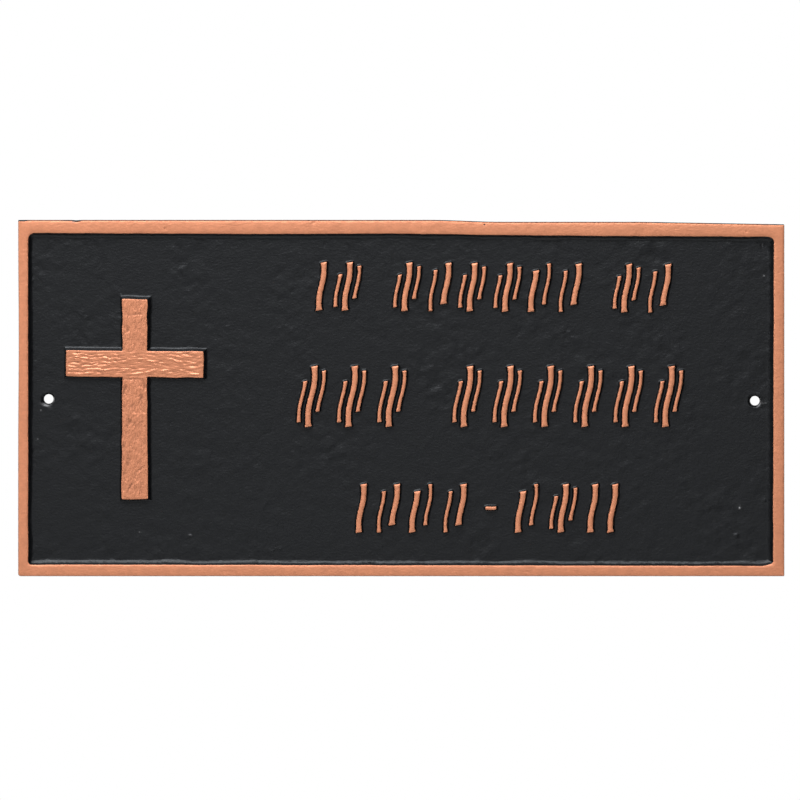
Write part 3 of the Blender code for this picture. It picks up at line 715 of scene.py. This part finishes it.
# Spots in the same form that take a light grey, with how much of it shows: partly bare aluminium where
# the paint has worn or chipped, and partly painted glints standing in for the lit hole lips, chip and
# specks.
BARE_AND_GLINT_SPOTS = (
    (-185.5, -3.7, 1.9, 0.5, -22, 0.45),
    (-188, -6.3, 0.3, 0.3, 0, 0.35),
    (186.7, -3.4, 1.3, 0.4, 50, 0.55),
    (189.7, -2.5, 1.4, 0.2, 10, 0.35),
    (176.6, -57.4, 0.4, 0.4, 0, 0.9),
    (189.3, 63.7, 0.4, 0.3, 0, 0.4),
    (188.4, 79.7, 0.2, 0.9, 0, 0.2),
    (-171, 91.9, 1, 0.2, 0, 0.95),
    (-110, -71.5, 0.9, 0.3, -6, 0.16),
    (-136.6, -70, 0.4, 0.3, 0, 0.18),
    (-189.7, -21.4, 0.4, 0.3, 0, 0.2),
)


def vein_height(x, z):
    """The height of the veins, soft low ridges and grooves, in millimetres."""
    total = np.zeros(len(x))
    for path, half_width, height in VEINS:
        nearest = np.full(len(x), np.inf)
        for start, end in zip(path, path[1:]):
            nearest = np.minimum(nearest, to_segment(x * 1000, z * 1000, start, end))
        total += height * bell(nearest, half_width)
    return total


def cast_height(x, z):
    """The low waves that the sand left in every face, and the panel's veins, grains and scratches."""
    patches = np.clip(0.75 + 0.45 * ripples(x, z, 0.045, 41), 0.2, 1.8)
    waves = 0.8 * ripples(x, z, 0.013, 42) + 0.75 * ripples(x, z, 0.0055, 43, waves=34)
    bumps = 0.42 * ripples(x, z, 0.0034, 44, waves=40)
    marks = vein_height(x, z) + carved(x, z, SPECKS)
    return WAVE_HEIGHT * patches * (waves + bumps) + marks / 1000


# The skin's points: all the rings, rows of points between them that are shifted a little each way, and
# small clusters where a flaw needs a finer mesh. They are joined into triangles seen from the front.
PANEL_SPACING, BAR_SPACING, POST_SPACING, FLAW_SPACING = 0.00145, 0.0004, 0.00048, 0.0004
BAR_SQUEEZE, GRAIN_SIDE, GRAIN_MARGIN, GRAIN_GAP = 0.82, 0.0075, 0.001, 0.0003
VEIN_STEP, VEIN_OFFSETS = 0.0008, np.array((-1.5, -0.75, 0.0, 0.75, 1.5))
shift_draw = np.random.default_rng(7)

# How far the points between the rings keep from the rim's, the holes', the cross's and the strokes'.
RING_GAP, CROSS_GAP, STROKE_GAP = 0.0007, 0.0036, 0.00185
FLAW_RIM_GAP, FLAW_HOLE_GAP, FLAW_STROKE_GAP = 0.0037, 0.0056, 0.0015
FLAW_POINT_GAP, RIM_FLAW_DEPTH = 0.0005, 0.0006


def filled(low_x, high_x, low_z, high_z, spacing, flatten=1.0):
    """Points in staggered rows, each shifted a little from its place. flatten brings the rows closer."""
    rows = np.arange(low_z, high_z, spacing * math.sqrt(3) / 2 * flatten)
    columns = np.arange(low_x, high_x, spacing / flatten)
    x, z = np.meshgrid(columns, rows)
    x[1::2] += spacing / flatten / 2
    points = np.column_stack((x.ravel(), z.ravel()))
    return points + shift_draw.uniform(-0.16, 0.16, points.shape) * spacing


def cluster(flaw, extent):
    """Close points over one flaw, out to this many times its size."""
    x, z, reach = flaw[0] / 1000, flaw[1] / 1000, extent * max(flaw[2:4]) / 1000
    return filled(x - reach, x + reach, z - reach, z + reach, FLAW_SPACING)


def hole_distance(x, z):
    """How far places lie from the middle of the nearer hole."""
    return np.minimum.reduce([np.hypot(x - hole_x, z - hole_z) for hole_x, hole_z, *_ in HOLES])


panel_fill = filled(*OUTER_BOX, PANEL_SPACING)
fill_x, fill_z = panel_fill.T
panel_from = RIM_WALL_FOOT * wall_form(fill_x, fill_z)[0] + PAST_WALL
clear = into_pocket(fill_x, fill_z) > panel_from + RING_GAP
clear &= hole_distance(fill_x, fill_z) > MOUTH_RING_RADII[-1] + RING_GAP
clear &= distance_to(cross_line, fill_x, fill_z) > CROSS_GAP
clear &= stroke_height(fill_x, fill_z)[1] > STROKE_GAP
panel_fill = panel_fill[clear]

half_span, half_height = CROSS_SPAN / 2 + GRAIN_MARGIN, CROSS_HEIGHT / 2 + GRAIN_MARGIN
bar_fill = filled(-half_span, half_span, BAR_Z - GRAIN_SIDE, BAR_Z + GRAIN_SIDE, BAR_SPACING, BAR_SQUEEZE)
post_fill = filled(-GRAIN_SIDE, GRAIN_SIDE, -half_height, half_height, POST_SPACING)
post_fill = post_fill[np.abs(post_fill[:, 1] - BAR_Z) > GRAIN_SIDE + BAR_SPACING / 2]
cross_fill = np.concatenate((bar_fill, post_fill)) + (CROSS_X, CROSS_Z)
cross_fill = cross_fill[distance_to(cross_line, *cross_fill.T) < -FACE_RING_DEPTHS[0] - GRAIN_GAP]

flaw_fill = [cluster(flaw, 1.6) for flaw in (*SPECKS, *BARE_AND_GLINT_SPOTS)]
for path, half_width, _ in VEINS:
    for start, end in zip(np.array(path) / 1000, np.array(path[1:]) / 1000):
        run = end - start
        length = math.hypot(*run)
        side = np.array((-run[1], run[0])) / length
        for share in np.arange(0.0, 1.0, VEIN_STEP / length):
            flaw_fill.append(start + run * share + side * (VEIN_OFFSETS * half_width / 1000)[:, None])
flaw_fill = np.concatenate(flaw_fill)
clear = (into_pocket(*flaw_fill.T) > FLAW_RIM_GAP) & (hole_distance(*flaw_fill.T) > FLAW_HOLE_GAP)
flaw_fill = flaw_fill[clear & (stroke_height(*flaw_fill.T)[1] > FLAW_STROKE_GAP)]
near_flaw = np.zeros(len(panel_fill), bool)
for flaw_x, flaw_z in flaw_fill:
    near_flaw |= np.hypot(panel_fill[:, 0] - flaw_x, panel_fill[:, 1] - flaw_z) < FLAW_POINT_GAP
panel_fill = panel_fill[~near_flaw]
rim_flaw_fill = []
for flaw in (*RIM_FLAWS, MISSED_SPOTS[-1]):
    places = cluster(flaw, 1.3)
    depth = np.minimum(inside_edge(*places.T) - OUTER_DRAFT, -into_pocket(*places.T))
    rim_flaw_fill.append(places[depth > RIM_FLAW_DEPTH])


def joined(borders, rings, fills):
    """Points and triangles over all these, with the plaque's outside and its holes left open."""
    places, edges, on_border = [], [], []
    for number, ring in enumerate((*borders, *rings)):
        start, count = len(places), len(ring)
        places += [Vector(point) for point in ring]
        edges += [(start + index, start + (index + 1) % count) for index in range(count)]
        on_border += [number < len(borders)] * count
    for fill in fills:
        places += [Vector(point) for point in fill]
    made_places, _, made_faces, *_ = delaunay_2d_cdt(places, edges, [], 0, 1e-7, False)
    on_border = np.array(on_border + [False] * (len(made_places) - len(on_border)))
    triangles = np.array(made_faces)
    return np.array([tuple(place) for place in made_places]), triangles[~on_border[triangles].all(1)]


def border_numbers(borders):
    """Each border's point numbers, the outer one counter-clockwise and the holes' clockwise."""
    ends = np.cumsum([len(border) for border in borders])
    numbers = [np.arange(end - len(border), end) for border, end in zip(borders, ends)]
    return [numbers[0]] + [hole[::-1] for hole in numbers[1:]]


fills = (panel_fill, cross_fill, flaw_fill, *rim_flaw_fill, *spines)
front, triangles = joined(borders, rings, fills)

# The front's height at every point, and what the paint needs to know there: how far the point lies
# inside the raised tops, whether on bar or post, how deep in the cross's grain (which sets the painted
# shade in its hollows), and how much of the light grey for bare metal and painted glints it shows.
HOLLOW_SHADE_DEPTH, DEEPEST = 0.00022, -0.0045
x, z = front.T
rim = rim_height(x, z)
out, into = rim_sides(x, z)
rim += carved(x, z, RIM_FLAWS) / 1000 * eased(np.minimum(out, -into) / 0.0004)
cross, cross_edge = cross_height(x, z)
strokes, stroke_edge = stroke_height(x, z)
height = np.maximum.reduce((rim, cross, strokes))
sand = cast_height(x, z)
raised = eased(height / 0.001)
height += sand * (1 - 0.55 * raised) + hole_height(x, z)
grain_run = np.where(cross_edge < 0, 2 * in_bar(z - CROSS_Z) - 1, 0.0)
edge_in = np.maximum.reduce((np.minimum(out, -into), -cross_edge, -stroke_edge))
edge_in -= carved(x, z, MISSED_SPOTS) / 1000
# Painted highlight as well as wear: bare aluminium spots, which also stand in for glints on the lit chips
# and specks.
bare_and_glint = np.clip(carved(x, z, BARE_AND_GLINT_SPOTS), 0.0, 1.0)
grain = cross_grain(x - CROSS_X, z - CROSS_Z)
# Painted shade: how deep a place lies in the cross's grain, which darkens its copper towards black for the
# shade in the hollows.
grain_hollow_shade = np.where(cross_edge < 0, np.clip(-grain / HOLLOW_SHADE_DEPTH, 0.0, 1.0), 0.0)
height = np.clip(height, DEEPEST, RELIEF - 0.00001)

points = [np.column_stack((x, -(PANEL_THICKNESS + height), z))]
faces = [triangles]


def add_ring(ring_points):
    """Adds a ring of points and gives their numbers."""
    start = sum(len(group) for group in points)
    points.append(ring_points)
    return np.arange(start, start + len(ring_points))


def add_band(first, second):
    """Faces between two rings that run the same way, with the outside to the right of that way."""
    after_first, after_second = np.roll(first, -1), np.roll(second, -1)
    faces.append(np.column_stack((first, second, after_second)))
    faces.append(np.column_stack((first, after_second, after_first)))


# The outer sides and the flat back are plainer: bare sand texture under the same black paint. The sides
# slope out a little to the back, where the edge was broken with a file.
SIDE_ROUGHNESS, BACK_WAVES, BACK_SPACING = 0.00009, 0.00003, 0.0048
SIDE_SHARES, BORE_SHARES = (0.12, 0.3, 0.48, 0.66, 0.84, 1.0), (0.25, 0.5, 0.75)
BACK_RING_INSET, BACK_RING_RADIUS, BACK_INSET, BACK_HOLE_GAP = 0.0022, 0.0042, 0.0045, 0.0065
rim_border, *hole_borders = border_numbers(borders)
border_line, border_y = front[rim_border], points[0][rim_border, 1]
border_out = outward(border_line)
border_run = np.concatenate(([0.0], np.cumsum(np.linalg.norm(np.diff(border_line, axis=0), axis=1))))
plate_corners = [(corner[0], corner[2]) for corner in solid_box]
draft = OUTER_DRAFT + TOP_DRAFT * np.maximum(border_out[:, 1], 0.0)
ring = rim_border
for share in SIDE_SHARES:
    level = border_y + (-BACK_EDGE - border_y) * share
    sand_in = SIDE_ROUGHNESS * np.clip(0.5 + 0.35 * ripples(border_run, level, 0.0032, 61), 0.0, 1.0)
    push = draft * share - sand_in * (1 if share < 1 else 0.4)
    line = np.clip(border_line + border_out * push[:, None], *plate_corners)
    lower = add_ring(np.column_stack((line[:, 0], level, line[:, 1])))
    add_band(ring, lower)
    ring = lower

back_edge = border_line + border_out * (draft - BACK_EDGE)[:, None]
back_borders = [back_edge, *hole_circles(HOLE_RADIUS - BORE_NARROWING)]
back_rings = [border_line - border_out * BACK_RING_INSET, *hole_circles(BACK_RING_RADIUS)]
back_fill = filled(*OUTER_BOX, BACK_SPACING)
clear = (inside_edge(*back_fill.T) > BACK_INSET) & (hole_distance(*back_fill.T) > BACK_HOLE_GAP)
back_fill = back_fill[clear]
back, back_triangles = joined(back_borders, back_rings, (back_fill,))
dips = BACK_WAVES * np.clip(1 + 0.5 * ripples(*back.T, 0.016, 62), 0.0, 2.0)
from_hole = hole_distance(*back.T) - HOLE_RADIUS
dips *= eased((inside_edge(*back.T) - BACK_EDGE) / 0.003) * eased(from_hole / 0.002)
back_numbers = add_ring(np.column_stack((back[:, 0], -dips, back[:, 1])))
faces.append(back_numbers[back_triangles[:, ::-1]])
back_rim_border, *back_hole_borders = (back_numbers[numbers] for numbers in border_numbers(back_borders))
add_band(ring, back_rim_border)
for border, back_border in zip(hole_borders, back_hole_borders):
    line, mouth_y = front[border], points[0][border, 1]
    ring = border
    for share in BORE_SHARES:
        narrow = line + (line.mean(0) - line) * (BORE_NARROWING / HOLE_RADIUS * share)
        lower = add_ring(np.column_stack((narrow[:, 0], mouth_y * (1 - share), narrow[:, 1])))
        add_band(ring, lower)
        ring = lower
    add_band(ring, back_border)

casting_mesh = bpy.data.meshes.new("memorial_plaque_skin")
casting_mesh.from_pydata(np.concatenate(points).tolist(), [], np.concatenate(faces).tolist())
casting_mesh.validate()
casting_mesh.shade_smooth()
casting_mesh.set_sharp_from_angle(angle=math.radians(50))
behind = len(casting_mesh.vertices) - len(front)
paint_edge = np.clip(edge_in * 1000.0, -5.0, 5.0)
for name, values in (("paint_edge", paint_edge), ("grain_run", grain_run), ("bare_and_glint", bare_and_glint), ("grain_hollow_shade", grain_hollow_shade)):
    attribute = casting_mesh.attributes.new(name, "FLOAT", "POINT")
    at_back = -5.0 if name == "paint_edge" else 0.0
    attribute.data.foreach_set("value", np.pad(values, (0, behind), constant_values=at_back))


def placed(name, data):
    """A new object in the scene, made of this data."""
    item = bpy.data.objects.new(name, data)
    bpy.context.scene.collection.objects.link(item)
    return item


casting = placed("memorial_plaque_skin", casting_mesh)

# The finish: the whole casting was sprayed satin black, and copper paint was then rolled over the raised
# tops, which it covers up to their rounded edges. Both coats follow the fine orange-peel of the sand.
BLACK_PAINT = (0.004, 0.0041, 0.0048)
COPPER_PAINT = (0.878, 0.345, 0.1835)
BARE_METAL_AND_GLINT = (0.55, 0.55, 0.57)
COOL_GLOSS = (0.9, 0.945, 1.0, 1.0)
PEEL_HEIGHT = 0.00036


class Flow:
    """One output of a paint's nodes. Python sums on it add the nodes that work them out."""

    def __init__(self, tree, socket=None):
        self.tree, self.socket = tree, socket

    def node(self, kind, settings=(), sockets=(), output=0):
        """Adds a node, with its settings first and then its sockets' values or links."""
        made = self.tree.nodes.new(kind)
        for name, value in dict(settings).items():
            setattr(made, name, value)
        for name, value in dict(sockets).items():
            if isinstance(value, Flow):
                self.tree.links.new(value.socket, made.inputs[name])
            else:
                made.inputs[name].default_value = value
        return Flow(self.tree, None if output is None else made.outputs[output])

    def sum(self, operation, *values):
        return self.node("ShaderNodeMath", {"operation": operation}, dict(enumerate(values)))

    def __add__(self, other):
        return self.sum("ADD", self, other)

    def __sub__(self, other):
        return self.sum("SUBTRACT", self, other)

    def __rsub__(self, other):
        return self.sum("SUBTRACT", other, self)

    def __mul__(self, other):
        return self.sum("MULTIPLY", self, other)

    __radd__ = __add__
    __rmul__ = __mul__

    def rising(self, low, high):
        """0 below low, 1 above high, with a soft rise between."""
        ends = {"Value": self, "From Min": low, "From Max": high}
        return self.node("ShaderNodeMapRange", {"interpolation_type": "SMOOTHSTEP"}, ends)

    def mixed(self, first, second):
        """One colour where this is 0 and the other where it is 1."""
        return self.node("ShaderNodeMix", {"data_type": "RGBA"}, {0: self, 6: first, 7: second}, 2)

    def stretched(self, along_x, along_z):
        """This place with its distances along the plaque and up it counted at these rates."""
        rates = (along_x, 1.0, along_z)
        return self.node("ShaderNodeVectorMath", {"operation": "MULTIPLY"}, {0: self, 1: rates})

    def noise(self, size, detail=2.0, roughness=0.5):
        """Noise whose lumps are about this long, from this place in the casting."""
        sockets = {"Vector": self, "Scale": 1 / size, "Detail": detail, "Roughness": roughness}
        return self.node("ShaderNodeTexNoise", {}, sockets)


def tint(colour, share):
    """A colour made this much lighter or darker."""
    return (*(min(channel * share, 1.0) for channel in colour), 1.0)


paint = bpy.data.materials.new("black_and_copper_paint")
paint.use_nodes = True
paint_tree = paint.node_tree
shader = paint_tree.nodes["Principled BSDF"]
flow = Flow(paint_tree)
place = flow.node("ShaderNodeTexCoord", output="Object")
edge, run, painted_hollow_shade, worn_and_glint = (
    flow.node("ShaderNodeAttribute", {"attribute_name": name}, output="Fac")
    for name in ("paint_edge", "grain_run", "grain_hollow_shade", "bare_and_glint")
)
on_bar, on_post = run.rising(0.0, 1.0), (run * -1.0).rising(0.0, 1.0)
fine, medium, broad = place.noise(0.0011, 3.0), place.noise(0.0045), place.noise(0.035)
copper = (edge + (fine - 0.5) * 0.28 + (medium - 0.5) * 0.24).rising(-0.07, 0.05)
black_shade = broad.mixed(tint(BLACK_PAINT, 0.86), tint(BLACK_PAINT, 1.14))
# Painted shade: beside the copper's random tone, the bar's copper is made a little darker than the post's,
# standing in for the shade among its ridges.
coat_tone_and_bar_shade = (medium * 0.6 + fine * 0.4 + on_bar * 0.06).rising(0.3, 0.7)
copper_shade = coat_tone_and_bar_shade.mixed(tint(COPPER_PAINT, 1.06), tint(COPPER_PAINT, 0.92))
# Painted shade: in the grain's hollows the copper is mixed part way to black, standing in for the shade
# there.
painted = (copper * (1 - painted_hollow_shade * 0.36)).mixed(black_shade, copper_shade)
# Painted highlight as well as wear: the light grey of bare aluminium here also stands in for glints.
colour = worn_and_glint.mixed(painted, tint(BARE_METAL_AND_GLINT, 1.0))
roughness = 0.4 + (medium - 0.5) * 0.16 + copper * 0.06 - on_bar * 0.13
wide = place.stretched(0.7, 1.0)
peel = (wide.noise(0.0012, 3.0, 0.55) - 0.5) * 0.75 + (wide.noise(0.0034) - 0.5) * 0.42
wood_streaks = on_bar * (place.stretched(0.2, 1.0).noise(0.001, 3.0) - 0.5) * 0.5
post_streaks = on_post * (place.stretched(1.0, 0.34).noise(0.0009, 3.0) - 0.5) * 1.4
rolled = (copper - on_bar - on_post) * (place.stretched(0.35, 1.0).noise(0.0011, 3.0) - 0.5) * 0.28
coats = peel * (0.66 - copper * 0.16 + on_post * 0.25) + wood_streaks + post_streaks + rolled
bump = flow.node("ShaderNodeBump", {}, {"Strength": 1.0, "Distance": PEEL_HEIGHT, "Height": coats})
shader.inputs["Specular Tint"].default_value = COOL_GLOSS
looks = {"Base Color": colour, "Roughness": roughness, "Metallic": copper * 0.35, "Normal": bump}
for name, value in looks.items():
    paint_tree.links.new(value.socket, shader.inputs[name])
casting_mesh.materials.append(paint)

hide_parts("memorial_plaque")
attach(casting, "root")

# The studio: a plain pale floor below the plaque, one large soft light above it and a little to its left,
# and a dim room. The camera looks at the face square-on from a distance, as the photograph does.
CAMERA_X, CAMERA_Z, CAMERA_DISTANCE, CAMERA_LENS = -0.00065, -0.00102, 8.0, 690.0
FLOOR_Z, FLOOR_RADIUS, FLOOR_SIDES = -0.42, 0.75, 72

camera_data = bpy.data.cameras.new("camera")
camera_data.lens, camera_data.sensor_width = CAMERA_LENS, 36.0
camera = placed("camera", camera_data)
camera.location = (CAMERA_X, -CAMERA_DISTANCE - PANEL_THICKNESS, CAMERA_Z)
camera.rotation_euler = (math.radians(90), 0.0, 0.0)
bpy.context.scene.camera = camera
bpy.context.scene.view_settings.view_transform = "Standard"

floor_mesh = bpy.data.meshes.new("floor")
turns = math.tau * np.arange(FLOOR_SIDES) / FLOOR_SIDES
floor_rim = [(FLOOR_RADIUS * math.cos(turn), FLOOR_RADIUS * math.sin(turn), FLOOR_Z) for turn in turns]
floor_mesh.from_pydata(floor_rim, [], [list(range(FLOOR_SIDES))])
floor = placed("floor", floor_mesh)
floor_finish = bpy.data.materials.new("pale_floor")
floor_finish.use_nodes = True
floor_shader = floor_finish.node_tree.nodes["Principled BSDF"]
floor_shader.inputs["Base Color"].default_value = (0.8, 0.8, 0.79, 1.0)
floor_shader.inputs["Roughness"].default_value = 0.9
floor_mesh.materials.append(floor_finish)


def soft_light(name, location, width, depth, radiance):
    """A soft box that faces the plaque, with its brightness given as seen from there."""
    data = bpy.data.lights.new(name, "AREA")
    data.shape = "RECTANGLE"
    data.size, data.size_y = width, depth
    data.energy = radiance * math.pi * width * depth
    light = placed(name, data)
    light.location = location
    light.visible_camera = False
    light.rotation_euler = (-Vector(location)).to_track_quat("-Z", "Y").to_euler()


soft_light("overhead_light", (-0.41, -0.58, 0.91), 1.72, 0.67, 6.0)
soft_light("front_light", (-0.3, -3.0, 0.4), 3.6, 2.8, 0.46)
for side in (-1, 1):
    soft_light("back_light", (2.3 * side, 2.0, 0.3), 2.0, 1.8, 2.2)

world = bpy.data.worlds.new("studio_room")
world.use_nodes = True
bpy.context.scene.world = world
room = Flow(world.node_tree)
world.node_tree.nodes.clear()
seen = room.node("ShaderNodeLightPath", output="Is Camera Ray")
dim, white = (
    room.node("ShaderNodeBackground", {}, {"Color": (1.0, 1.0, 1.0, 1.0), "Strength": strength})
    for strength in (0.01, 1.0)
)
both = room.node("ShaderNodeMixShader", {}, {0: seen, 1: dim, 2: white})
room.node("ShaderNodeOutputWorld", {"target": "ALL"}, {"Surface": both}, output=None)
